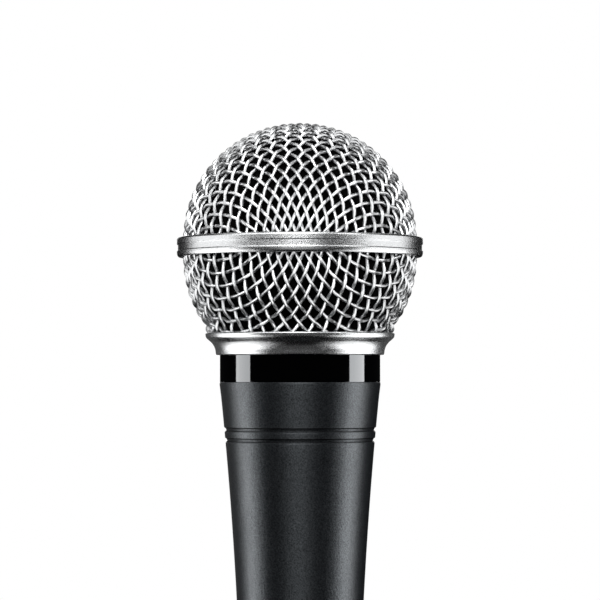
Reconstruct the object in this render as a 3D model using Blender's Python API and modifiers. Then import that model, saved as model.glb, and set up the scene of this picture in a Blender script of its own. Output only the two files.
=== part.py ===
"""Handheld dynamic vocal microphone: woven ball grille on a screw collar, tapered handle, moving-coil
cartridge on a rubber mount, and a three-pin connector in the tail.

The microphone stands on its tail: the axis is +Z and the origin is the centre of the tail face. The front
is towards -Y. Sizes and heights below are in millimetres, and the helpers turn them into metres.
"""

import math

import bmesh
import bpy
from mathutils import Matrix, Vector

MM = 0.001

# Overall sizes
LENGTH = 166.0
BAND_R = 25.25  # the widest point, the ring round the ball
MESH_OUTER_R = 24.0
MESH_THICK = 1.2  # two wires
FOAM_THICK = 1.9
GAP = 0.3  # between pieces that touch

# Handle
TAIL_R = 11.5
SHOULDER_R = 16.5
SHOULDER_Z = 112.6
TAPER_POWER = 2.4
WALL = 2.4
GROOVE_ZS = (103.1, 100.95)
GROOVE_HALF_WIDTH = 0.45
GROOVE_DEPTH = 0.3
NAMEPLATE_SEAT_R = 15.45
NAMEPLATE_R = 16.43
NECK_R = 15.1
NECK_FOOT_Z = 118.5
NECK_TOP_Z = 123.2
NECK_BORE_R = 13.7
NECK_BORE_FLOOR_Z = 105.0

# Screw thread between the neck and the grille's collar
THREAD_PITCH = 1.0
THREAD_CREST_R = 15.6
THREAD_START_Z = 119.5
THREAD_TURNS = 3
THREAD_SLOPE = 0.23 / 0.7  # how much half the ridge's width loses per millimetre of radius
THREAD_ROOT_HALF = 0.34  # half the ridge's width where it starts inside the neck
THREAD_ROOT_R = 14.9
THREAD_PLAY = 0.13  # between the flanks
COLLAR_CREST_R = 15.22
COLLAR_BORE_R = 15.74

# Grille
DOME_CENTRE_Z = LENGTH - MESH_OUTER_R
BOWL_CENTRE_Z = 138.3
BAND_TOP_Z = 142.4
BAND_FOOT_Z = 138.6
BAND_WEB_TOP_Z = 141.0
BAND_WEB_FOOT_Z = 140.0
COLLAR_LIP_Z = 123.0
COLLAR_FOOT_Z = 118.4
COLLAR_LIP_R = 19.41
COLLAR_FOOT_R = 17.28

# Connector
SOCKET_R = 8.05
SOCKET_DEPTH = 14.5
INSERT_TOP_Z = 23.7
PIN_CIRCLE_R = 3.8
PIN_R = 1.2
PIN_HOLE_R = 1.45
PIN_ANGLES = {"pin_1": 180.0, "pin_2": 0.0, "pin_3": 270.0}
LOCK_SCREW_Z = 19.0
SOLDER_CUP_TOP_Z = 28.5

# Cartridge
HEAD_R = 14.6
HEAD_BORE_R = 13.4
HEAD_FOOT_Z = 126.8
HEAD_TOP_Z = 143.0
STEM_R = 8.8
STEM_FOOT_Z = 92.0
COIL_INNER_R = 8.35
COIL_OUTER_R = 8.75
POLE_R = 8.0
YOKE_BORE_R = 9.2
MAGNET_R = 7.6
LUG_X = 3.0
LUG_FOOT_Z = 86.9

LEAD_R = 0.6
OUTSIDE_SEGMENTS = 36
INSIDE_SEGMENTS = 24
SMALL_SEGMENTS = 12
CORNER = math.radians(32)

SLIM = 1e-5  # metres, the merge distance of a Screw modifier


def clear_scene():
    for leftover in list(bpy.data.objects):
        bpy.data.objects.remove(leftover)


def new_collection(name):
    made = bpy.data.collections.new(name)
    bpy.context.scene.collection.children.link(made)
    return made


def new_material(name, colour, roughness, metallic):
    made = bpy.data.materials.new(name)
    made.use_nodes = True
    shader = made.node_tree.nodes["Principled BSDF"]
    shader.inputs["Base Color"].default_value = (*colour, 1.0)
    shader.inputs["Roughness"].default_value = roughness
    shader.inputs["Metallic"].default_value = metallic
    return made


def pivot(name, height, above=None):
    """An empty on the axis, which the pieces of one moving body are parented to."""
    made = bpy.data.objects.new(name, None)
    PARTS.objects.link(made)
    made.location = (0.0, 0.0, height * MM)
    made.parent = above
    if above is not None:
        made.matrix_parent_inverse = Matrix.Translation(-above.location)
    return made


def add(name, data, paint=None, body=None, place=(0.0, 0.0, 0.0)):
    """Puts a new object in the scene: a part where it has a body, or a cutter where it has none."""
    piece = bpy.data.objects.new(name, data)
    piece.location = Vector(place) * MM
    if body is None:
        CUTTERS.objects.link(piece)
        piece.hide_render = True
        piece.display_type = "WIRE"
        return piece
    PARTS.objects.link(piece)
    piece.data.materials.append(paint)
    piece.parent = body
    piece.matrix_parent_inverse = Matrix.Translation(-world_place(body))
    return piece


def world_place(empty):
    return Vector((0.0, 0.0, BODY_HEIGHTS[empty.name] * MM))


def turned(name, outline, paint=None, body=None, segments=INSIDE_SEGMENTS, place=(0.0, 0.0, 0.0)):
    """A turned solid from (radius, height) pairs that run down its outer side and up its inner one.
    An outline that starts and ends on the axis is left open there."""
    points = [(radius * MM, 0.0, height * MM) for radius, height in outline]
    edges = [(i, i + 1) for i in range(len(points) - 1)]
    if outline[0][0] > 0.0:
        edges.append((len(points) - 1, 0))
    mesh = bpy.data.meshes.new(name)
    mesh.from_pydata(points, edges, [])
    piece = add(name, mesh, paint, body, place)
    screw = piece.modifiers.new("Turn", "SCREW")
    screw.steps = segments
    screw.render_steps = segments
    screw.use_merge_vertices = True
    screw.merge_threshold = SLIM
    return piece


def ring(name, inner, outer, foot, top, paint, body, **more):
    return turned(name, [(inner, top), (outer, top), (outer, foot), (inner, foot)], paint, body, **more)


def disc(name, radius, foot, top, paint, body, **more):
    return turned(name, [(0.0, top), (radius, top), (radius, foot), (0.0, foot)], paint, body, **more)


def block(name, low, high, paint=None, body=None, turn=0.0):
    """A box from its lowest to its highest corner, turned about the microphone's axis."""
    shape = bmesh.new()
    size = Vector(high) - Vector(low)
    middle = (Vector(high) + Vector(low)) / 2
    bmesh.ops.create_cube(shape, size=1.0, matrix=Matrix.Translation(middle * MM) @ Matrix.Diagonal((*size * MM, 1.0)))
    shape.transform(Matrix.Rotation(math.radians(turn), 4, "Z"))
    mesh = bpy.data.meshes.new(name)
    shape.to_mesh(mesh)
    shape.free()
    return add(name, mesh, paint, body)


def rod(name, radius, start, end, segments=SMALL_SEGMENTS):
    """A round cutter between two points. It is turned a little so that no corner meets an edge exactly."""
    start, end = Vector(start) * MM, Vector(end) * MM
    upright = (end - start).to_track_quat("Z", "Y").to_matrix().to_4x4()
    shape = bmesh.new()
    bmesh.ops.create_cone(
        shape,
        cap_ends=True,
        segments=segments,
        radius1=radius * MM,
        radius2=radius * MM,
        depth=(end - start).length,
        matrix=Matrix.Translation((start + end) / 2) @ upright @ Matrix.Rotation(math.radians(7.0), 4, "Z"),
    )
    mesh = bpy.data.meshes.new(name)
    shape.to_mesh(mesh)
    shape.free()
    return add(name, mesh)


def helix(name, section, start_height, turns):
    """A right-handed ridge: section is (radius, height) pairs about the middle of the ridge."""
    shape = bmesh.new()
    corners = [shape.verts.new((radius * MM, 0.0, (start_height + height) * MM)) for radius, height in section]
    end_face = shape.faces.new(corners)
    steps = round(turns * OUTSIDE_SEGMENTS)
    bmesh.ops.spin(
        shape,
        geom=[end_face],
        cent=(0.0, 0.0, 0.0),
        axis=(0.0, 0.0, 1.0),
        dvec=(0.0, 0.0, THREAD_PITCH * MM / OUTSIDE_SEGMENTS),
        angle=turns * math.tau,
        steps=steps,
    )
    bmesh.ops.recalc_face_normals(shape, faces=shape.faces)
    mesh = bpy.data.meshes.new(name)
    shape.to_mesh(mesh)
    shape.free()
    return add(name, mesh)


def combine(piece, other, operation):
    boolean = piece.modifiers.new(other.name, "BOOLEAN")
    boolean.operation = operation
    boolean.object = other
    return piece


def cut(piece, *cutters):
    for cutter in cutters:
        combine(piece, cutter, "DIFFERENCE")
    return piece


def arc(centre_r, centre_z, radius_r, radius_z, start, end, steps):
    """Points of an ellipse in the outline's plane, angles in degrees from the outward direction."""
    angles = [math.radians(start + (end - start) * i / steps) for i in range(steps + 1)]
    return [(centre_r + radius_r * math.cos(a), centre_z + radius_z * math.sin(a)) for a in angles]


def barrel_radius(height):
    """The handle's outside: slim and nearly straight at the tail, flaring towards the shoulder."""
    return TAIL_R + (SHOULDER_R - TAIL_R) * (height / SHOULDER_Z) ** TAPER_POWER


def ridge_half(radius):
    """Half the width of the neck's ridge, which narrows outwards."""
    return THREAD_ROOT_HALF - THREAD_SLOPE * (radius - THREAD_ROOT_R)


def ridge_section(radii, halves):
    """A ridge's section, from its two radii and half its width at each."""
    (first_r, second_r), (first, second) = radii, halves
    return [(first_r, -first), (second_r, -second), (second_r, second), (first_r, first)]


# Handle body


def handle_outside():
    """From the neck's top edge down to the tail face."""
    edge = 0.25
    outline = [
        (NECK_R - edge, NECK_TOP_Z),
        (NECK_R, NECK_TOP_Z - edge),
        (NECK_R, NECK_FOOT_Z),
        (NAMEPLATE_SEAT_R, NECK_FOOT_Z - 0.35),
        (NAMEPLATE_SEAT_R, SHOULDER_Z),
        (SHOULDER_R - edge, SHOULDER_Z),
        (barrel_radius(SHOULDER_Z - edge), SHOULDER_Z - edge),
        (barrel_radius(107.5), 107.5),
    ]
    for height in GROOVE_ZS:
        above, below = height + GROOVE_HALF_WIDTH, height - GROOVE_HALF_WIDTH
        outline += [
            (barrel_radius(above), above),
            (barrel_radius(height) - GROOVE_DEPTH, height),
            (barrel_radius(below), below),
        ]
    outline += [(barrel_radius(height), height) for height in (94.0, 85.0, 75.0, 64.0, 52.0, 38.0, 22.0)]
    outline += [(TAIL_R, 0.5), (TAIL_R - 0.5, 0.0)]
    return outline


def handle_inside():
    """From the mouth of the socket up to the neck's bore."""
    mouth = 0.45
    outline = [(SOCKET_R + mouth, 0.0), (SOCKET_R, mouth), (SOCKET_R, INSERT_TOP_Z + GAP)]
    outline += [(6.8, INSERT_TOP_Z + GAP), (6.8, 25.5), (8.6, 27.3)]
    outline += [(barrel_radius(height) - WALL, height) for height in (32.0, 52.0, 70.0, 84.0, 96.0)]
    outline += [(12.8, NECK_BORE_FLOOR_Z), (NECK_BORE_R, NECK_BORE_FLOOR_Z), (NECK_BORE_R, NECK_TOP_Z)]
    return outline


def make_handle_barrel():
    barrel = turned("handle_barrel", handle_outside() + handle_inside(), PAINT, HANDLE, OUTSIDE_SEGMENTS)
    radii = (THREAD_ROOT_R, THREAD_CREST_R)
    section = ridge_section(radii, [ridge_half(radius) for radius in radii])
    combine(barrel, helix("neck_thread", section, THREAD_START_Z, THREAD_TURNS), "UNION")
    cut(
        barrel,
        rod("lock_screw_hole", 1.5, (0.0, 7.0, LOCK_SCREW_Z), (0.0, 14.0, LOCK_SCREW_Z)),
        block("latch_recess", (-2.5, 7.0, 5.5), (2.5, 9.0, 9.0)),
        block("keyway", (-1.2, 7.0, -1.0), (1.2, 8.7, 12.0)),
    )


def make_nameplate_ring():
    foot, top, edge = SHOULDER_Z + GAP, COLLAR_FOOT_Z - GAP, 0.15
    inner = NAMEPLATE_SEAT_R + GAP
    outline = [(inner, top), (NAMEPLATE_R - edge, top), (NAMEPLATE_R, top - edge)]
    outline += [(NAMEPLATE_R, foot + edge), (NAMEPLATE_R - edge, foot), (inner, foot)]
    turned("nameplate_ring", outline, GLOSS_BLACK, HANDLE, OUTSIDE_SEGMENTS)


def make_connector():
    insert = disc("xlr_insert", SOCKET_R - GAP, SOCKET_DEPTH, INSERT_TOP_Z, BLACK_PLASTIC, HANDLE)
    for name, angle in PIN_ANGLES.items():
        x = PIN_CIRCLE_R * math.cos(math.radians(angle))
        y = PIN_CIRCLE_R * math.sin(math.radians(angle))
        cut(insert, rod(f"{name}_hole", PIN_HOLE_R, (x, y, SOCKET_DEPTH - 1.0), (x, y, INSERT_TOP_Z + 1.0)))
        make_pin(name, (x, y, 0.0))
    cut(insert, rod("insert_screw_hole", 1.45, (0.0, 2.9, LOCK_SCREW_Z), (0.0, 9.0, LOCK_SCREW_Z)))
    make_lock_screw()


def make_pin(name, place):
    """A contact with a rounded nose and a hollow solder cup at the back."""
    cup_r = PIN_R + 0.15
    outline = [(0.0, 25.5), (0.8, 25.5), (0.8, SOLDER_CUP_TOP_Z), (cup_r, SOLDER_CUP_TOP_Z)]
    outline += [(cup_r, INSERT_TOP_Z + GAP), (PIN_R, INSERT_TOP_Z + GAP), (PIN_R, 2.7), (0.75, 2.0), (0.0, 1.8)]
    turned(name, outline, GOLD, HANDLE, SMALL_SEGMENTS, place)


def make_lock_screw():
    """A slotted grub screw that holds the insert: its end stands in the hole in the handle's back."""
    length, radius = 6.2, 1.15
    screw = disc("lock_screw", radius, 0.0, length, STEEL, HANDLE, segments=SMALL_SEGMENTS, place=(0.0, 3.2, LOCK_SCREW_Z))
    screw.rotation_euler.x = -math.pi / 2
    cut(screw, block("screw_slot", (-2.0, 8.7, LOCK_SCREW_Z - 0.2), (2.0, 10.0, LOCK_SCREW_Z + 0.2)))


def make_ground_tab():
    """A bent strip against the handle's wall, which the screen lead is soldered to."""
    strip = bpy.data.curves.new("ground_tab", "CURVE")
    strip.dimensions = "2D"
    strip.fill_mode = "BOTH"
    strip.extrude = 1.2 * MM
    corners = [(-9.0, 35.6), (-8.5, 35.6), (-8.5, 38.1), (-7.4, 38.1), (-7.4, 38.6), (-9.0, 38.6)]
    line = strip.splines.new("POLY")
    line.points.add(len(corners) - 1)
    for point, (x, z) in zip(line.points, corners):
        point.co = (x * MM, z * MM, 0.0, 1.0)
    line.use_cyclic_u = True
    tab = add("ground_tab", strip, STEEL, HANDLE)
    tab.rotation_euler.x = math.pi / 2


def make_mount():
    """The ring that holds the cartridge in the neck, and the rubber sleeve that the cartridge floats on."""
    flange_foot, flange_top = NECK_TOP_Z + GAP, NECK_TOP_Z + 1.7
    outline = [(11.9, flange_top), (14.2, flange_top), (14.5, flange_top - 0.3), (14.5, flange_foot)]
    outline += [(NECK_BORE_R - GAP, flange_foot), (NECK_BORE_R - GAP, NECK_BORE_FLOOR_Z + GAP)]
    outline += [(11.9, NECK_BORE_FLOOR_Z + GAP)]
    turned("mount_ring", outline, BLACK_PLASTIC, HANDLE)
    top, fold = 122.0, 109.4
    outline = [(10.9, top), (11.6, top), (11.6, fold + 0.8), (11.0, fold), (9.7, fold), (9.1, fold + 0.8)]
    outline += [(9.1, top), (9.8, top), (9.8, fold + 1.2), (10.9, fold + 1.2)]
    turned("rubber_isolator", outline, RUBBER, HANDLE)


# Cartridge body


def make_cartridge_head():
    floor = HEAD_FOOT_Z + 1.2
    stem_hole = STEM_R + GAP
    outline = [(HEAD_BORE_R, HEAD_TOP_Z), (HEAD_R, HEAD_TOP_Z), (HEAD_R, HEAD_FOOT_Z + 0.5)]
    outline += [(HEAD_R - 0.5, HEAD_FOOT_Z), (stem_hole, HEAD_FOOT_Z), (stem_hole, floor), (HEAD_BORE_R, floor)]
    housing = turned("cartridge_housing", outline, BLACK_PLASTIC, CARTRIDGE)
    for i in range(4):
        cut(housing, block(f"rear_port_{i}", (-20.0, -1.7, 129.8), (20.0, 1.7, 132.6), turn=22.5 + 45.0 * i))
    ring("port_felt", HEAD_BORE_R - 0.8, HEAD_BORE_R - GAP, 129.6, 133.0, FELT, CARTRIDGE)


def make_front_cap():
    """A perforated resonator plate over the diaphragm, with an acoustic screen under it."""
    foot = HEAD_TOP_Z + GAP
    roof = [(0.0, 149.6), (5.0, 149.3), (10.0, 148.5), (13.2, 147.5), (HEAD_R, 146.2)]
    ceiling = [(HEAD_BORE_R, 145.9), (10.0, 147.3), (5.0, 148.1), (0.0, 148.4)]
    cap = turned("front_cap", roof + [(HEAD_R, foot), (HEAD_BORE_R, foot)] + ceiling, BLACK_PLASTIC, CARTRIDGE)
    cut(cap, rod("cap_hole_middle", 1.8, (0.0, 0.0, 147.0), (0.0, 0.0, 151.0)))
    for i in range(6):
        x, y = 8.6 * math.cos(math.radians(60.0 * i)), 8.6 * math.sin(math.radians(60.0 * i))
        cut(cap, rod(f"cap_hole_{i}", 1.6, (x, y, 145.0), (x, y, 151.0)))
    disc("front_screen", HEAD_BORE_R - GAP, 145.0, 145.4, FELT, CARTRIDGE)


def make_motor():
    """Magnet, yoke and pole piece round the gap that the voice coil moves in."""
    yoke_top, yoke_foot, yoke_floor = 140.0, 131.2, 132.7
    outline = [(0.0, yoke_floor), (YOKE_BORE_R, yoke_floor), (YOKE_BORE_R, yoke_top), (10.5, yoke_top)]
    outline += [(10.5, yoke_foot), (0.0, yoke_foot)]
    turned("magnet_yoke", outline, STEEL, CARTRIDGE)
    disc("magnet", MAGNET_R, 133.0, 137.4, MAGNET, CARTRIDGE)
    disc("pole_piece", POLE_R, 137.7, yoke_top, STEEL, CARTRIDGE)
    outline = [(12.3, 142.3), (13.1, 142.3), (13.1, 135.5), (10.8, 135.5), (10.8, 137.5), (12.3, 137.5)]
    carrier = turned("motor_carrier", outline, BLACK_PLASTIC, CARTRIDGE)
    for i in range(3):
        cut(carrier, block(f"carrier_slot_{i}", (-20.0, -2.2, 134.0), (20.0, 2.2, 137.0), turn=60.0 * i))


def make_surround():
    """The flexing rim between the diaphragm's dome and the clamp: a flat edge and one half roll."""
    film, rim_z = 0.3, 142.6
    roll = arc(10.75, rim_z, 1.55, 1.1, 180.0, 0.0, 6)
    under = [(8.95, rim_z)] + roll + [(13.0, rim_z)]
    top = [(radius, height + film) for radius, height in under]
    turned("diaphragm_surround", top + under[::-1], FILM, CARTRIDGE)
    ring("clamp_ring", 12.4, HEAD_BORE_R - GAP, 143.2, 144.4, BLACK_PLASTIC, CARTRIDGE)


def make_stem():
    """The rear chamber behind the motor, with the terminal board under it."""
    flange_foot, flange_top, flange_r = HEAD_FOOT_Z + 1.5, HEAD_FOOT_Z + 2.5, 11.0
    outline = [(0.0, STEM_FOOT_Z + 1.0), (STEM_R - 1.0, STEM_FOOT_Z + 1.0), (STEM_R - 1.0, flange_top)]
    outline += [(flange_r, flange_top), (flange_r, flange_foot), (STEM_R, flange_foot)]
    outline += [(STEM_R, STEM_FOOT_Z + 0.4), (STEM_R - 0.4, STEM_FOOT_Z), (0.0, STEM_FOOT_Z)]
    turned("rear_chamber", outline, BLACK_PLASTIC, CARTRIDGE)
    board_top = STEM_FOOT_Z - GAP
    board_foot = board_top - 1.5
    disc("terminal_board", 7.5, board_foot, board_top, BOARD, CARTRIDGE)
    for name, x in (("terminal_hot", LUG_X), ("terminal_cold", -LUG_X)):
        block(name, (x - 0.8, -0.25, LUG_FOOT_Z), (x + 0.8, 0.25, board_foot - GAP), GOLD, CARTRIDGE)


# Diaphragm body


def make_diaphragm():
    film, rim_r, rim_z, rise = 0.3, 8.65, 142.9, 1.4
    dome = [(rim_r * i / 5, rim_z + rise * (1.0 - (i / 5) ** 2)) for i in range(6)]
    under = [(radius, height - film) for radius, height in dome]
    turned("diaphragm_dome", dome + under[::-1], FILM, DIAPHRAGM)
    ring("voice_coil", COIL_INNER_R, COIL_OUTER_R, 138.2, 142.3, COPPER, DIAPHRAGM)


# Foam body and grille body


def shell_outline(centre_z, outer_r, thick, start, end, steps):
    """A spherical shell's section between two latitudes, in degrees above the centre."""
    outer = arc(0.0, centre_z, outer_r, outer_r, start, end, steps)
    inner_r = outer_r - thick
    return outer, arc(0.0, centre_z, inner_r, inner_r, end, start, steps)


def make_foam():
    outer_r = MESH_OUTER_R - MESH_THICK - GAP
    rim = BAND_WEB_TOP_Z + GAP
    outer, inner = shell_outline(DOME_CENTRE_Z, outer_r, FOAM_THICK, 90.0, 0.0, 7)
    outer[0] = (0.0, outer[0][1])
    inner[-1] = (0.0, inner[-1][1])
    foot = [(outer_r, rim), (outer_r - FOAM_THICK, rim)]
    turned("foam_dome", outer + foot + inner, FOAM_BLACK, FOAM, INSIDE_SEGMENTS)
    rim = BAND_WEB_FOOT_Z - GAP
    outer, inner = shell_outline(BOWL_CENTRE_Z, outer_r, FOAM_THICK, 0.0, -31.3, 4)
    top = [(outer_r - FOAM_THICK, rim), (outer_r, rim)]
    neck = [(18.45, 125.85), (17.9, 124.85), (17.75, 124.1), (17.3, 123.6), (17.2, 123.1)]
    neck += [(15.9, 123.1), (15.9, 124.3), (16.15, 125.6), (16.9, 126.9)]
    turned("foam_bowl", top + outer + neck + inner, FOAM_BLACK, FOAM, INSIDE_SEGMENTS)


def make_grille_mesh():
    """The woven wire, as plain shells of its thickness: a dome above the band and a bowl below it."""
    inner_r = MESH_OUTER_R - MESH_THICK
    rim = BAND_WEB_TOP_Z + GAP
    outer, inner = shell_outline(DOME_CENTRE_Z, MESH_OUTER_R, MESH_THICK, 90.0, 0.0, 9)
    outer[0] = (0.0, outer[0][1])
    inner[-1] = (0.0, inner[-1][1])
    turned("grille_dome", outer + [(MESH_OUTER_R, rim), (inner_r, rim)] + inner, WIRE, GRILLE, OUTSIDE_SEGMENTS)
    rim = BAND_WEB_FOOT_Z - GAP
    outer, inner = shell_outline(BOWL_CENTRE_Z, MESH_OUTER_R, MESH_THICK, 0.0, -32.0, 5)
    neck = [(19.75, 125.1), (19.42, 124.6), (19.38, 123.8), (18.65, 123.1), (18.6, 122.3)]
    neck += [(17.5, 122.3), (17.5, 123.2), (18.1, 123.95), (18.25, 124.7), (18.7, 125.6)]
    outline = [(inner_r, rim), (MESH_OUTER_R, rim)] + outer + neck + inner
    turned("grille_bowl", outline, WIRE, GRILLE, OUTSIDE_SEGMENTS)


def make_grille_band():
    """A T-section ring: two beads with a recess between them, and a web that parts the two meshes."""
    bead, recess = 0.15, BAND_R - 0.15
    wall_r = MESH_OUTER_R + GAP
    web_r = 22.4
    outline = [(wall_r, BAND_TOP_Z), (BAND_R - 0.4, BAND_TOP_Z), (BAND_R, BAND_TOP_Z - 0.4)]
    outline += [(BAND_R, BAND_WEB_TOP_Z + bead), (recess, BAND_WEB_TOP_Z)]
    outline += [(recess, BAND_WEB_FOOT_Z - bead), (BAND_R, BAND_WEB_FOOT_Z - 2 * bead)]
    outline += [(BAND_R, BAND_FOOT_Z + 0.3), (BAND_R - 0.3, BAND_FOOT_Z), (wall_r, BAND_FOOT_Z)]
    outline += [(wall_r, BAND_WEB_FOOT_Z), (web_r, BAND_WEB_FOOT_Z), (web_r, BAND_WEB_TOP_Z), (wall_r, BAND_WEB_TOP_Z)]
    turned("grille_band", outline, SATIN_SILVER, GRILLE, OUTSIDE_SEGMENTS)


def make_grille_collar():
    """A lip that the bowl's wires sit in, a concave waist, and a threaded bore for the neck."""
    channel_outer, channel_inner, channel_floor = 18.98, 17.2, 122.0
    ledge_z = 122.7
    outline = [(channel_outer, COLLAR_LIP_Z), (COLLAR_LIP_R - 0.2, COLLAR_LIP_Z), (COLLAR_LIP_R, COLLAR_LIP_Z - 0.25)]
    outline += [(19.37, 122.2), (19.2, 121.85), (18.75, 121.42), (18.26, 121.0), (17.93, 120.6)]
    outline += [(17.66, 120.2), (17.42, 119.6), (17.31, 119.0)]
    outline += [(COLLAR_FOOT_R, COLLAR_FOOT_Z), (COLLAR_BORE_R, COLLAR_FOOT_Z), (COLLAR_BORE_R, ledge_z)]
    outline += [(channel_inner, ledge_z), (channel_inner, channel_floor), (channel_outer, channel_floor)]
    collar = turned("grille_collar", outline, SATIN_SILVER, GRILLE, OUTSIDE_SEGMENTS)
    radii = (COLLAR_CREST_R, COLLAR_BORE_R + 0.2)
    section = ridge_section(radii, [THREAD_PITCH / 2 - THREAD_PLAY - ridge_half(radius) for radius in radii])
    ridge = helix("collar_thread", section, THREAD_START_Z - THREAD_PITCH / 2, THREAD_TURNS)
    combine(collar, ridge, "UNION")


# Leads

HOT_ROUTE = [
    (LUG_X, 0.0, LUG_FOOT_Z - GAP),
    (3.0, 0.2, 82.0),
    (4.2, 1.0, 74.0),
    (2.6, 2.4, 62.0),
    (-0.5, 1.8, 50.0),
    (0.8, -0.6, 40.0),
    (3.4, -0.4, 33.5),
    (PIN_CIRCLE_R, 0.0, SOLDER_CUP_TOP_Z + GAP),
]
COLD_ROUTE = [
    (-LUG_X, 0.0, LUG_FOOT_Z - GAP),
    (-3.1, -0.3, 82.0),
    (-4.4, -1.2, 74.0),
    (-3.0, -2.8, 62.0),
    (0.6, -2.6, 50.0),
    (-0.6, -4.2, 40.0),
    (0.0, -4.0, 33.5),
    (0.0, -PIN_CIRCLE_R, SOLDER_CUP_TOP_Z + GAP),
]
SCREEN_ROUTE = [
    (-PIN_CIRCLE_R, 0.0, SOLDER_CUP_TOP_Z + GAP),
    (-3.9, 0.1, 31.5),
    (-5.2, 0.4, 35.0),
    (-6.6, 0.2, 37.4),
    (-7.4 + 0.55, 0.0, 39.6),
]


def smooth_points(route, per_span):
    """A Catmull-Rom curve through the route's points."""
    route = [Vector(p) for p in route]
    padded = [2 * route[0] - route[1]] + route + [2 * route[-1] - route[-2]]
    points = []
    for before, start, end, after in zip(padded, padded[1:], padded[2:], padded[3:]):
        for i in range(per_span):
            t = i / per_span
            bend = 2 * start + (end - before) * t + (2 * before - 5 * start + 4 * end - after) * t**2
            points.append((bend + (3 * start - before - 3 * end + after) * t**3) / 2)
    return points + [route[-1]]


def make_lead(name, route, paint, per_span=3):
    points = smooth_points(route, per_span)
    line = bpy.data.curves.new(name, "CURVE")
    line.dimensions = "3D"
    line.bevel_depth = LEAD_R * MM
    line.bevel_resolution = 2
    line.use_fill_caps = True
    spline = line.splines.new("POLY")
    spline.points.add(len(points) - 1)
    for target, point in zip(spline.points, points):
        target.co = (*point * MM, 1.0)
    add(name, line, paint, HANDLE)


def bake(piece):
    """Turns a piece's modifiers into its mesh, shaded smooth except at its corners."""
    graph = bpy.context.evaluated_depsgraph_get()
    mesh = bpy.data.meshes.new_from_object(piece.evaluated_get(graph))
    mesh.name = piece.name
    piece.modifiers.clear()
    piece.data = mesh
    mesh.shade_smooth()
    mesh.set_sharp_from_angle(angle=CORNER)


def bake_all():
    bpy.context.view_layer.update()
    for piece in PARTS.objects:
        if piece.type == "MESH":
            bake(piece)
    for cutter in list(CUTTERS.objects):
        bpy.data.objects.remove(cutter)


clear_scene()
PARTS = new_collection("dynamic_microphone")
CUTTERS = new_collection("cutters")

PAINT = new_material("charcoal_paint", (0.028, 0.03, 0.033), 0.42, 0.35)
GLOSS_BLACK = new_material("gloss_black", (0.004, 0.004, 0.005), 0.06, 0.0)
SATIN_SILVER = new_material("satin_silver", (0.62, 0.62, 0.63), 0.3, 1.0)
WIRE = new_material("plated_wire", (0.72, 0.72, 0.73), 0.18, 1.0)
FOAM_BLACK = new_material("black_foam", (0.012, 0.012, 0.013), 0.95, 0.0)
BLACK_PLASTIC = new_material("black_plastic", (0.02, 0.02, 0.021), 0.45, 0.0)
RUBBER = new_material("rubber", (0.018, 0.018, 0.018), 0.8, 0.0)
STEEL = new_material("plated_steel", (0.55, 0.56, 0.58), 0.3, 1.0)
GOLD = new_material("contact_plating", (0.75, 0.66, 0.42), 0.22, 1.0)
MAGNET = new_material("magnet_nickel", (0.5, 0.5, 0.52), 0.25, 1.0)
FELT = new_material("felt", (0.06, 0.06, 0.06), 0.95, 0.0)
FILM = new_material("polyester_film", (0.65, 0.67, 0.66), 0.25, 0.0)
COPPER = new_material("copper_winding", (0.72, 0.33, 0.16), 0.35, 1.0)
BOARD = new_material("terminal_board", (0.1, 0.17, 0.09), 0.5, 0.0)
LEAD_RED = new_material("lead_red", (0.45, 0.02, 0.02), 0.45, 0.0)
LEAD_BLACK = new_material("lead_black", (0.02, 0.02, 0.02), 0.45, 0.0)
LEAD_GREEN = new_material("lead_green", (0.03, 0.2, 0.06), 0.45, 0.0)

BODY_HEIGHTS = {"handle": 0.0, "cartridge": 115.0, "diaphragm": 142.75, "foam": 118.0, "grille": 120.5}
HANDLE = pivot("handle", BODY_HEIGHTS["handle"])
CARTRIDGE = pivot("cartridge", BODY_HEIGHTS["cartridge"])
DIAPHRAGM = pivot("diaphragm", BODY_HEIGHTS["diaphragm"])
FOAM = pivot("foam", BODY_HEIGHTS["foam"])
GRILLE = pivot("grille", BODY_HEIGHTS["grille"])

make_handle_barrel()
make_nameplate_ring()
make_connector()
make_ground_tab()
make_mount()
make_lead("lead_hot", HOT_ROUTE, LEAD_RED)
make_lead("lead_cold", COLD_ROUTE, LEAD_BLACK)
make_lead("lead_screen", SCREEN_ROUTE, LEAD_GREEN)

make_cartridge_head()
make_front_cap()
make_motor()
make_surround()
make_stem()
make_diaphragm()

make_foam()
make_grille_mesh()
make_grille_band()
make_grille_collar()

bake_all()
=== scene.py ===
"""The looks of a handheld dynamic vocal microphone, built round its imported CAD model.

The frame is the CAD's own: the axis is +Z, the tail stands on z = 0 and the front is towards -Y. Lengths in
this file are in millimetres unless a name says otherwise, and helpers turn them into metres.
"""

import math

import bmesh
import bpy
import numpy as np
from mathutils import Matrix, Vector


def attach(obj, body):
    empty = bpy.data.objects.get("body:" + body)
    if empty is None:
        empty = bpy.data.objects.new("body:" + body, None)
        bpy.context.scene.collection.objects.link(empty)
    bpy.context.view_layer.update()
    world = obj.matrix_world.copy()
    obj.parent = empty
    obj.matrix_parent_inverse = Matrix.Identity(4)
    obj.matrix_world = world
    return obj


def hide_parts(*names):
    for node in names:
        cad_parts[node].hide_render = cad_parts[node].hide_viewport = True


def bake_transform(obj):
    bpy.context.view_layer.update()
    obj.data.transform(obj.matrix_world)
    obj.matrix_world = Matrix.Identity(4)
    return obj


MM = 0.001

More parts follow.
